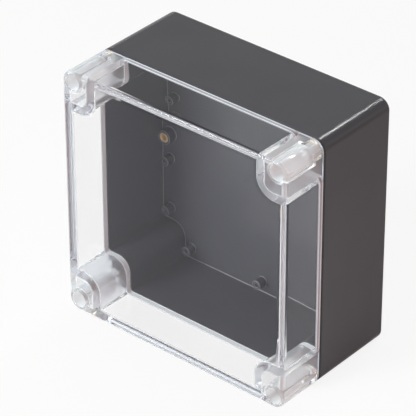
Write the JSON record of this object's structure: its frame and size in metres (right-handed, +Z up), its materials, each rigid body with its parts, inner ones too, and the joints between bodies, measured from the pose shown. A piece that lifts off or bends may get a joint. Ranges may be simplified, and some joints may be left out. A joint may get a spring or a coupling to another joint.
{
  "type": "waterproof project box",
  "caption": "Square sealed enclosure with a deep clear screw-down lid on a dark moulded base, screw tubes in its corners and floor posts for boards or a rail.",
  "frame": {"origin": "middle of the bottom side that the box stands on, half way between lid front and back edge", "axes": "+X to the right as seen facing the lid, +Y from the lid to the back, +Z up"},
  "size_m": [0.16, 0.09, 0.16],
  "materials": {
    "base_plastic": "fine satin moulded ABS, dark grey",
    "clear_plastic": "clear polished polycarbonate",
    "gasket_rubber": "soft silicone cord, light grey",
    "steel": "bright stainless steel",
    "washer_rubber": "black rubber",
    "brass": "turned brass"
  },
  "bodies": {
    "base": {"base": "base_plastic", "insert_tl": "brass", "insert_tr": "brass", "insert_bl": "brass", "insert_br": "brass", "rail_insert_l": "brass", "rail_insert_r": "brass"},
    "lid": {"lid": "clear_plastic", "gasket": "gasket_rubber"},
    "washer_tl": {"washer_tl": "washer_rubber"},
    "screw_tl": {"screw_tl": "steel"},
    "washer_tr": {"washer_tr": "washer_rubber"},
    "screw_tr": {"screw_tr": "steel"},
    "washer_bl": {"washer_bl": "washer_rubber"},
    "screw_bl": {"screw_bl": "steel"},
    "washer_br": {"washer_br": "washer_rubber"},
    "screw_br": {"screw_br": "steel"}
  },
  "joints": [
    {"name": "lid_lift", "type": "slide", "parent": "base", "child": "lid", "axis": [0, -1, 0], "range_m": [0, 0.06]},
    {"name": "screw_tl_travel", "type": "slide", "parent": "lid", "child": "washer_tl", "axis": [0, -1, 0], "range_m": [0, 0.0091]},
    {"name": "screw_tl_turn", "type": "hinge", "parent": "washer_tl", "child": "screw_tl", "pos_m": [-0.073, -0.0224, 0.153], "axis": [0, -1, 0], "range_deg": [0, 4681]},
    {"name": "screw_tr_travel", "type": "slide", "parent": "lid", "child": "washer_tr", "axis": [0, -1, 0], "range_m": [0, 0.0091]},
    {"name": "screw_tr_turn", "type": "hinge", "parent": "washer_tr", "child": "screw_tr", "pos_m": [0.073, -0.0224, 0.153], "axis": [0, -1, 0], "range_deg": [0, 4681]},
    {"name": "screw_bl_travel", "type": "slide", "parent": "lid", "child": "washer_bl", "axis": [0, -1, 0], "range_m": [0, 0.0091]},
    {"name": "screw_bl_turn", "type": "hinge", "parent": "washer_bl", "child": "screw_bl", "pos_m": [-0.073, -0.0224, 0.007], "axis": [0, -1, 0], "range_deg": [0, 4681]},
    {"name": "screw_br_travel", "type": "slide", "parent": "lid", "child": "washer_br", "axis": [0, -1, 0], "range_m": [0, 0.0091]},
    {"name": "screw_br_turn", "type": "hinge", "parent": "washer_br", "child": "screw_br", "pos_m": [0.073, -0.0224, 0.007], "axis": [0, -1, 0], "range_deg": [0, 4681]}
  ],
  "couplings": [
    {"joint": "screw_tl_turn", "follows": "screw_tl_travel", "rad_per_m": 8976},
    {"joint": "screw_tr_turn", "follows": "screw_tr_travel", "rad_per_m": 8976},
    {"joint": "screw_bl_turn", "follows": "screw_bl_travel", "rad_per_m": 8976},
    {"joint": "screw_br_turn", "follows": "screw_br_travel", "rad_per_m": 8976}
  ]
}
